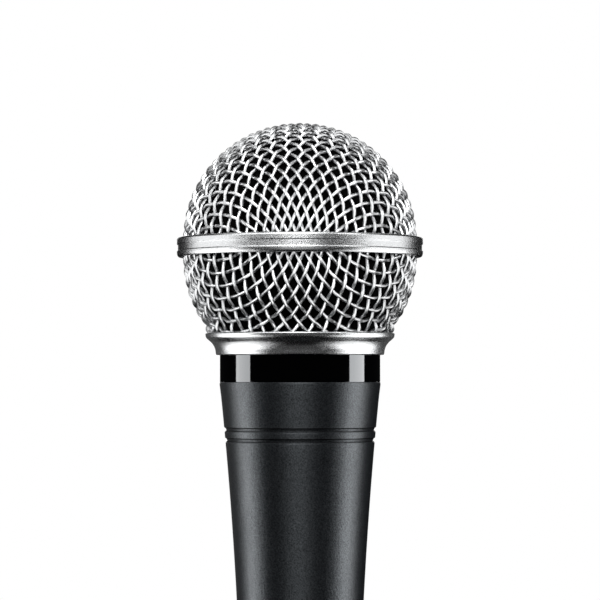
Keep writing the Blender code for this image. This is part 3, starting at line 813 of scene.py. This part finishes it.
def make_collar():
    """A thin lip over a waisted skirt, with the mesh's channel in its top and the thread in its bore."""
    outline = [(CHANNEL_OUTER_R, COLLAR_LIP_Z - 0.08), (CHANNEL_OUTER_R + 0.06, COLLAR_LIP_Z)]
    outline += arc(COLLAR_LIP_R - 0.3, COLLAR_LIP_Z - 0.3, 0.3, 0.3, 85.0, 0.0, 6)
    waist = [(COLLAR_LIP_R, 122.65), (19.36, 122.2), (19.2, 121.85), (18.75, 121.42), (18.26, 121.0)]
    waist += [(17.93, 120.6), (17.66, 120.2), (17.49, 119.78), (17.36, 119.36), (17.3, 118.9)]
    outline += [tuple(p) for p in smooth_run([*waist, (COLLAR_FOOT_R, COLLAR_FOOT_Z + 0.12)], 4)[4:-1]]
    outline += [(COLLAR_FOOT_R, COLLAR_FOOT_Z + 0.12), (COLLAR_FOOT_R - 0.12, COLLAR_FOOT_Z)]
    outline += [(COLLAR_BORE_R + 0.25, COLLAR_FOOT_Z), (COLLAR_BORE_R, COLLAR_FOOT_Z + 0.25)]
    outline += [(COLLAR_BORE_R, LEDGE_Z), (CHANNEL_INNER_R, LEDGE_Z)]
    outline += [(CHANNEL_INNER_R, CHANNEL_FLOOR_Z), (CHANNEL_OUTER_R, CHANNEL_FLOOR_Z)]
    collar = turned("screw_collar", firm(outline), FINE)
    radii = (COLLAR_BORE_R + 0.2, COLLAR_CREST_R)
    section = ridge_section(radii, [THREAD_PITCH / 2 - THREAD_PLAY - ridge_half(radius) for radius in radii])
    boolean(collar, helix(section, THREAD_START_Z - THREAD_PITCH / 2, THREAD_TURNS), "UNION")
    dress(collar, SILVER, "grille", "grille_collar")


def make_foam():
    """The liner's two halves, inside the mesh."""
    inner_r = FOAM_OUTER_R - FOAM_THICK
    outer = arc(0.0, DOME_CENTRE_Z, FOAM_OUTER_R, FOAM_OUTER_R, 90.0, 0.0, 40)
    inner = arc(0.0, DOME_CENTRE_Z, inner_r, inner_r, 0.0, 90.0, 40)
    outer[0], inner[-1] = (0.0, outer[0][1]), (0.0, inner[-1][1])
    rim = [(FOAM_OUTER_R, FOAM_DOME_RIM_Z), (inner_r, FOAM_DOME_RIM_Z)]
    dress_foam("foam_liner_dome", "foam_dome", outer + rim + inner)
    outer = arc(0.0, BOWL_CENTRE_Z, FOAM_OUTER_R, FOAM_OUTER_R, 0.0, FOAM_BOWL_END_DEG, 16)
    inner = arc(0.0, BOWL_CENTRE_Z, inner_r, inner_r, FOAM_BOWL_END_DEG, 0.0, 16)
    rim = [(inner_r, FOAM_BOWL_RIM_Z), (FOAM_OUTER_R, FOAM_BOWL_RIM_Z)]
    neck = [(18.43, 125.85), (17.88, 124.85), (17.73, 124.1), (17.3, 123.6), (17.2, 123.15)]
    neck += [(15.95, 123.15), (15.95, 124.3), (16.2, 125.6), (16.95, 126.9)]
    dress_foam("foam_liner_bowl", "foam_bowl", rim + outer + neck + inner)


def dress_foam(name, node, outline):
    """A foam shell with a slightly uneven open-cell surface."""
    foam = turned(name, outline, FOAM_SEGMENTS)
    roughen(foam, 0.05)
    dress(foam, FOAM, "foam_liner", node)


def roughen(piece, depth):
    """Moves each point in along its normal by a fixed, seeded amount."""
    mesh = piece.data
    amounts = np.random.default_rng(7).random(len(mesh.vertices)) * depth * MM
    places = np.array([v.co for v in mesh.vertices])
    normals = np.array([v.normal for v in mesh.vertices])
    mesh.vertices.foreach_set("co", (places - normals * amounts[:, None]).astype(np.float32).ravel())
    mesh.update()


# Handle

BARREL_MATERIALS = (PAINT, CAST, PAINTED_GROOVE_SHADE)


def barrel_radius(height):
    """The handle's flare, which starts straight at the tail."""
    return TAIL_R + (SHOULDER_R - TAIL_R) * (height / SHOULDER_Z) ** TAPER_POWER


def groove(height):
    """A groove round the barrel, from its top edge down."""
    return [(barrel_radius(height + up) - deep, height + up) for up, deep in GROOVE_SHAPE]


def barrel_outside():
    """From the top of the neck, over the ring's seat and the shoulder, and down to the tail."""
    edge_r, edge_z = 0.13, 0.5
    outline = [(NECK_R - 0.25, NECK_TOP_Z), (NECK_R, NECK_TOP_Z - 0.25), (NECK_R, NECK_FOOT_Z)]
    outline += [(SEAT_R, NECK_FOOT_Z - 0.35), (SEAT_R, SHOULDER_Z)]
    outline += arc(SHOULDER_R - edge_r, SHOULDER_Z - edge_z, edge_r, edge_z, 90.0, 0.0, 8)
    outline += [(barrel_radius(z), z) for z in (110.0, 107.0, 105.0)]
    for middle in GROOVE_ZS:
        outline += groove(middle)
    outline += [(barrel_radius(z), z) for z in np.arange(98.0, 1.0, -2.0)]
    outline += arc(TAIL_R - 0.5, 0.5, 0.5, 0.5, 0.0, -90.0, 5)
    return outline


def barrel_inside():
    """From the tail, up the socket, past the insert's stop and on to the mouth."""
    outline = [(SOCKET_R + 0.45, 0.0), (SOCKET_R, 0.45)]
    outline += [(SOCKET_R, z) for z in (6.0, 12.0, 17.0, 21.0, INSERT_TOP_Z)]
    outline += [(6.8, INSERT_TOP_Z), (6.8, 25.5), (8.6, 27.3)]
    outline += [(barrel_radius(z) - WALL, z) for z in (32.0, 52.0, 70.0, 84.0, 96.0)]
    outline += [(12.8, NECK_BORE_FLOOR_Z), (NECK_BORE_R, NECK_BORE_FLOOR_Z), (NECK_BORE_R, NECK_TOP_Z)]
    return outline


def paint_outside_only(barrel):
    """The paint covers the barrel's outside, the ring's seat and the tail face, and the grooves' walls get a
    near-black dull material that paints the shade in the grooves. The rest is bare metal."""
    paint, cast, groove_shade = range(len(BARREL_MATERIALS))
    skin = 1.2  # deeper than the seat and the grooves, and thinner than the wall
    for face in barrel.data.polygons:
        x, y, z = face.center / MM
        outside = math.hypot(x, y) > barrel_radius(min(z, SHOULDER_Z)) - skin and z < NECK_FOOT_Z - 0.4
        tail_face = z < 0.2
        groove_wall = abs(face.normal.z) > 0.75 and any(abs(z - middle) < 0.5 for middle in GROOVE_ZS)
        if groove_wall:
            # painted shade on the grooves' walls
            face.material_index = groove_shade
        elif outside or tail_face:
            face.material_index = paint
        else:
            face.material_index = cast


def make_barrel():
    """The handle, with its thread and the connector's screw hole, key way and tab slot."""
    barrel = turned("barrel", barrel_outside() + barrel_inside(), BARREL_SEGMENTS)
    radii = (THREAD_ROOT_R, THREAD_CREST_R)
    section = ridge_section(radii, [ridge_half(radius) for radius in radii])
    ridge = helix(section, THREAD_START_Z, THREAD_TURNS)
    for material in BARREL_MATERIALS:
        barrel.data.materials.append(material)
        ridge.data.materials.append(material)
    paint_outside_only(barrel)
    for face in ridge.data.polygons:
        face.material_index = BARREL_MATERIALS.index(CAST)
    boolean(barrel, ridge, "UNION")
    boolean(barrel, rod(SCREW_HOLE_R, (0.0, 7.0, LOCK_SCREW_Z), (0.0, 14.0, LOCK_SCREW_Z)))
    boolean(barrel, block((-2.5, 7.0, 5.5), (2.5, 9.0, 9.0)))
    boolean(barrel, block((-1.2, 7.0, -1.0), (1.2, 8.7, 12.0)))
    dress(barrel, PAINT, "handle", "handle_barrel")


def make_nameplate():
    corners = [(NAMEPLATE_BORE_R, NAMEPLATE_TOP_Z), (NAMEPLATE_R, NAMEPLATE_TOP_Z)]
    corners += [(NAMEPLATE_R, NAMEPLATE_FOOT_Z), (NAMEPLATE_BORE_R, NAMEPLATE_FOOT_Z)]
    ring = turned("nameplate", firm(rounded(corners, 0.07)), FINE)
    dress(ring, GLOSS, "handle", "nameplate_ring")


def make_connector():
    """The plug's insulating insert, bored for its pins and its screw, and the pins."""
    corners = [(0.0, INSERT_BACK_Z), (INSERT_R, INSERT_BACK_Z), (INSERT_R, SOCKET_DEPTH + 0.3)]
    corners += [(INSERT_R - 0.3, SOCKET_DEPTH), (6.2, SOCKET_DEPTH), (6.0, SOCKET_DEPTH + 0.25)]
    corners += [(5.6, SOCKET_DEPTH + 0.25), (5.4, SOCKET_DEPTH), (0.0, SOCKET_DEPTH)]
    insert = turned("socket_insert", corners, HIDDEN)
    for name, angle in PIN_ANGLES.items():
        x = PIN_CIRCLE_R * math.cos(math.radians(angle))
        y = PIN_CIRCLE_R * math.sin(math.radians(angle))
        boolean(insert, rod(PIN_HOLE_R, (x, y, SOCKET_DEPTH - 1.0), (x, y, INSERT_BACK_Z + 1.0)))
        make_pin(name, x, y)
    boolean(insert, rod(PIN_HOLE_R, (0.0, 2.9, LOCK_SCREW_Z), (0.0, 9.0, LOCK_SCREW_Z)))
    dress(insert, PLASTIC, "handle", "xlr_insert")


def make_pin(name, x, y):
    """A contact with a round nose below and a solder cup above."""
    outline = [(0.0, SOLDER_CUP_FLOOR_Z), (SOLDER_CUP_BORE_R, SOLDER_CUP_FLOOR_Z)]
    outline += [(SOLDER_CUP_BORE_R, SOLDER_CUP_TOP_Z), (SOLDER_CUP_R, SOLDER_CUP_TOP_Z)]
    outline += [(SOLDER_CUP_R, INSERT_BACK_Z + 0.3), (PIN_R, INSERT_BACK_Z + 0.3)]
    outline += arc(0.0, 3.0, PIN_R, 1.2, 0.0, -90.0, 8)
    outline[-1] = (0.0, outline[-1][1])
    pin = turned("contact_" + name, outline, PIN_SEGMENTS)
    pin.data.transform(Matrix.Translation(Vector((x, y, 0.0)) * MM))
    dress(pin, GOLD, "handle", name)


# Leads and rubber, which give between the handle and the cartridge


def make_leads():
    """The two thin leads, from the cartridge's tags down to the pins."""
    for name, node, route, material, slot in (
        ("hot_lead", "lead_hot", HOT_ROUTE, RED, "lead_red"),
        ("cold_lead", "lead_cold", COLD_ROUTE, BLACK, "lead_black"),
    ):
        line = smooth_run(route, 8)
        verts, faces = tube(line, [(0.0, 1.0, 0.0)] * len(line), LEAD_R, 12)
        lead = new_piece(name, verts, faces)
        lead.data.materials.append(material)
        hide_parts(node)
        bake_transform(lead)


def make_isolator():
    """A rolled rubber sleeve between the handle and the cartridge."""
    top, fold = 122.0, 109.4
    outline = [(10.9, top), (11.6, top), (11.6, fold + 0.8), (11.0, fold), (9.7, fold), (9.1, fold + 0.8)]
    outline += [(9.1, top), (9.8, top), (9.8, fold + 1.2), (10.9, fold + 1.2)]
    sleeve = turned("isolator_sleeve", rounded(outline, 0.3, 3), HIDDEN)
    dress(sleeve, RUBBER, "handle", "rubber_isolator")


def make_surround():
    """The diaphragm's flexing rim."""
    film_mm, rim_z = 0.3, 142.6
    roll = arc(10.75, rim_z, 1.55, 1.1, 180.0, 0.0, 18)
    under = [(8.95, rim_z)] + roll + [(13.0, rim_z)]
    top = [(radius, height + film_mm) for radius, height in under]
    rim = turned("rim_film", top + under[::-1], HIDDEN)
    dress(rim, FILM, "cartridge", "diaphragm_surround")


def dress_cad_nodes():
    """The hidden inner nodes keep their CAD shape and get finished materials."""
    capsule = ["cartridge_housing", "front_cap", "motor_carrier", "clamp_ring", "rear_chamber"]
    looks = {
        PLASTIC: ["mount_ring", *capsule],
        STEEL: ["lock_screw", "ground_tab", "magnet_yoke", "pole_piece"],
        NICKEL: ["magnet"],
        GOLD: ["terminal_hot", "terminal_cold"],
        FELT: ["port_felt", "front_screen"],
        FILM: ["diaphragm_dome"],
        COPPER: ["voice_coil"],
        BOARD: ["terminal_board"],
        GREEN: ["lead_screen"],
    }
    for material, names in looks.items():
        for name in names:
            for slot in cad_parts[name].material_slots:
                slot.material = material


# Studio


def softbox(name, azimuth, elevation, distance, width, height, radiance):
    """A softbox that faces the microphone. Azimuth is in degrees from the front towards +X, sizes are in
    metres, and radiance is how bright its face looks."""
    side, rise = math.radians(azimuth), math.radians(elevation)
    away = Vector((math.sin(side) * math.cos(rise), -math.cos(side) * math.cos(rise), math.sin(rise)))
    data = bpy.data.lights.new(name, "AREA")
    data.shape = "RECTANGLE"
    data.size = width
    data.size_y = height
    data.energy = radiance * math.pi * width * height
    light = bpy.data.objects.new(name, data)
    bpy.context.scene.collection.objects.link(light)
    light.location = Vector((0.0, 0.0, AIM_HEIGHT)) + away * distance
    light.rotation_euler = away.to_track_quat("Z", "Y").to_euler()
    light.visible_camera = False
    return light


# Pieces that the studio's softboxes are aimed at
WIRES = ("wire_dome", "wire_bowl")
BAND_AND_COLLAR = ("equator_band", "screw_collar")
BARE_METAL = (*WIRES, *BAND_AND_COLLAR)


def aim_at(lights, names, reach="INCLUDE"):
    """Makes lights reach the named pieces only, or with EXCLUDE everything but them."""
    group = bpy.data.collections.new("_".join((reach.lower(), *names)))
    for name in names:
        group.objects.link(bpy.data.objects[name])
    for member in group.collection_objects:
        member.light_linking.link_state = reach
    for light in lights:
        light.light_linking.receiver_collection = group


def make_lights():
    """Two tall strips at the sides and a box above the front, each fitted to the pieces that it lights."""
    front = softbox("front_box", -3.0, 36.0, 0.9, 0.45, 0.82, 7.5)
    aim_at([front], ["screw_collar"], "EXCLUDE")
    aim_at([softbox("collar_front_box", -3.0, 36.5, 0.9, 0.45, 0.78, 8.5)], ["screw_collar"])
    left_bar = softbox("left_bar", -89.5, 0.0, 0.8, 0.4, 1.2, 8.6)
    aim_at([left_bar], ["nameplate"])
    left_strip = softbox("left_strip", -94.0, 0.0, 0.8, 0.435, 1.2, 8.1)
    aim_at([left_strip], [*BARE_METAL, "nameplate"], "EXCLUDE")
    right_strip = softbox("right_strip", 89.3, 0.0, 0.8, 0.42, 1.2, 9.7)
    aim_at([right_strip], BARE_METAL, "EXCLUDE")
    soft = [
        softbox("left_wide_box", -90.0, 0.0, 0.8, 0.92, 0.4, 2.0),
        softbox("right_wide_box", 90.0, 0.0, 0.8, 0.92, 0.4, 2.0),
        softbox("left_fill", -46.0, 26.0, 0.8, 0.58, 0.42, 3.3),
        softbox("right_fill", 50.0, 26.0, 0.8, 0.3, 0.42, 4.9),
        softbox("top_box", -3.0, 76.0, 0.9, 0.45, 0.4, 4.8),
        softbox("left_top_box", -90.0, 58.0, 0.8, 0.5, 0.3, 1.5),
        softbox("right_top_box", 90.0, 58.0, 0.8, 0.5, 0.3, 0.9),
    ]
    aim_at(soft, BARE_METAL)
    low = [
        softbox("left_low_wide_box", -90.0, -28.0, 0.8, 0.95, 0.47, 3.6),
        softbox("right_low_wide_box", 91.0, -28.0, 0.8, 0.95, 0.47, 3.4),
        softbox("left_low_box", -90.0, -52.0, 0.8, 0.6, 0.25, 2.3),
        softbox("right_low_box", 90.0, -52.0, 0.8, 0.7, 0.25, 2.1),
    ]
    aim_at(low, BAND_AND_COLLAR)
    aim_at([softbox("wire_fill", 0.0, -18.0, 0.8, 2.0, 0.85, 2.2)], WIRES)
    aim_at([softbox("collar_fill", 0.0, -24.0, 0.8, 1.3, 1.0, 0.07)], ["screw_collar"])
    aim_at([softbox("band_fill", -3.0, -6.0, 0.9, 0.55, 0.75, 0.7)], ["equator_band"])
    aim_at([softbox("left_rim_box", -148.0, 0.0, 0.8, 0.8, 0.9, 0.1)], ["screw_collar", "barrel"])
    aim_at([softbox("right_rim_box", 146.0, 0.0, 0.8, 0.8, 0.9, 0.1)], ["screw_collar"])
    softbox("back_box", 180.0, 20.0, 1.0, 0.5, 0.6, 1.5)


def make_world():
    """White to the camera, and a dim studio to everything else."""
    world = bpy.data.worlds.new("studio")
    bpy.context.scene.world = world
    world.use_nodes = True
    tree = world.node_tree
    back = tree.nodes["Background"]
    back.inputs["Color"].default_value = (1.0, 1.0, 1.0, 1.0)
    dim = tree.nodes.new("ShaderNodeBackground")
    dim.inputs["Color"].default_value = (0.006, 0.006, 0.0062, 1.0)
    path = tree.nodes.new("ShaderNodeLightPath")
    mix = tree.nodes.new("ShaderNodeMixShader")
    tree.links.new(path.outputs["Is Camera Ray"], mix.inputs["Fac"])
    tree.links.new(dim.outputs["Background"], mix.inputs[1])
    tree.links.new(back.outputs["Background"], mix.inputs[2])
    tree.links.new(mix.outputs["Shader"], tree.nodes["World Output"].inputs["Surface"])


def clear_from_below(m):
    """Lets the underside be seen through the floor."""
    geometry = m.tree.nodes.new("ShaderNodeNewGeometry")
    clear = m.tree.nodes.new("ShaderNodeBsdfTransparent")
    mix = m.tree.nodes.new("ShaderNodeMixShader")
    m.link(geometry.outputs["Backfacing"], mix.inputs["Fac"])
    m.link(m.shader.outputs["BSDF"], mix.inputs[1])
    m.link(clear.outputs["BSDF"], mix.inputs[2])
    m.link(mix.outputs["Shader"], m.tree.nodes["Material Output"].inputs["Surface"])


def make_floor():
    """A pale round floor, just under the tail."""
    sides, level = 40, -0.05
    ring_radii = (60.0, 200.0, 400.0, 750.0)
    points, faces = [(0.0, 0.0, level)], []
    for radius in ring_radii:
        for angle in (math.tau * i / sides for i in range(sides)):
            points.append((radius * math.cos(angle), radius * math.sin(angle), level))
    for i in range(sides):
        after = (i + 1) % sides
        faces.append((0, 1 + i, 1 + after))
        for ring in range(len(ring_radii) - 1):
            inner, outer = 1 + ring * sides, 1 + (ring + 1) * sides
            faces.append((inner + i, outer + i, outer + after, inner + after))
    floor = new_piece("floor", points, faces)
    floor.data.materials.append(floor_paper())
    floor.visible_glossy = False
    floor.visible_diffuse = False


def floor_paper():
    """Pale paper with a painted glow: emission that grows away from the object fades it into the white of
    the background.
    """
    m = Nodes("floor_paper", (0.86, 0.86, 0.86), 0.8)
    length = m.tree.nodes.new("ShaderNodeVectorMath")
    length.operation = "LENGTH"
    m.link(m.coords, length.inputs[0])
    # painted light: the floor's emission rises from 0 to 1 between 0.15 m and 0.72 m from the object
    fade = m.spread(length.outputs["Value"], 0.0, 1.0, 0.15, 0.72)
    m.shader.inputs["Emission Color"].default_value = (1.0, 1.0, 1.0, 1.0)
    m.link(fade, m.shader.inputs["Emission Strength"])
    m.bump(m.noise(0.6, 2.0), 0.02, 0.2)
    clear_from_below(m)
    return m.material


def make_camera():
    data = bpy.data.cameras.new("camera")
    data.lens = LENS
    data.sensor_width = 36.0
    data.clip_start = 0.01
    camera = bpy.data.objects.new("camera", data)
    bpy.context.scene.collection.objects.link(camera)
    camera.location = (0.0, -CAMERA_DISTANCE, CAMERA_HEIGHT)
    tilt = Matrix.Rotation(math.radians(90.0 + CAMERA_PITCH), 4, "X")
    roll = Matrix.Rotation(math.radians(CAMERA_ROLL), 4, "Z")
    camera.rotation_euler = (tilt @ roll).to_euler()
    bpy.context.scene.camera = camera


make_wires()
make_band()
make_collar()
make_foam()
make_barrel()
make_nameplate()
make_connector()
make_leads()
make_isolator()
make_surround()
dress_cad_nodes()
make_lights()
make_world()
make_floor()
make_camera()
bpy.context.scene.view_settings.view_transform = "Standard"
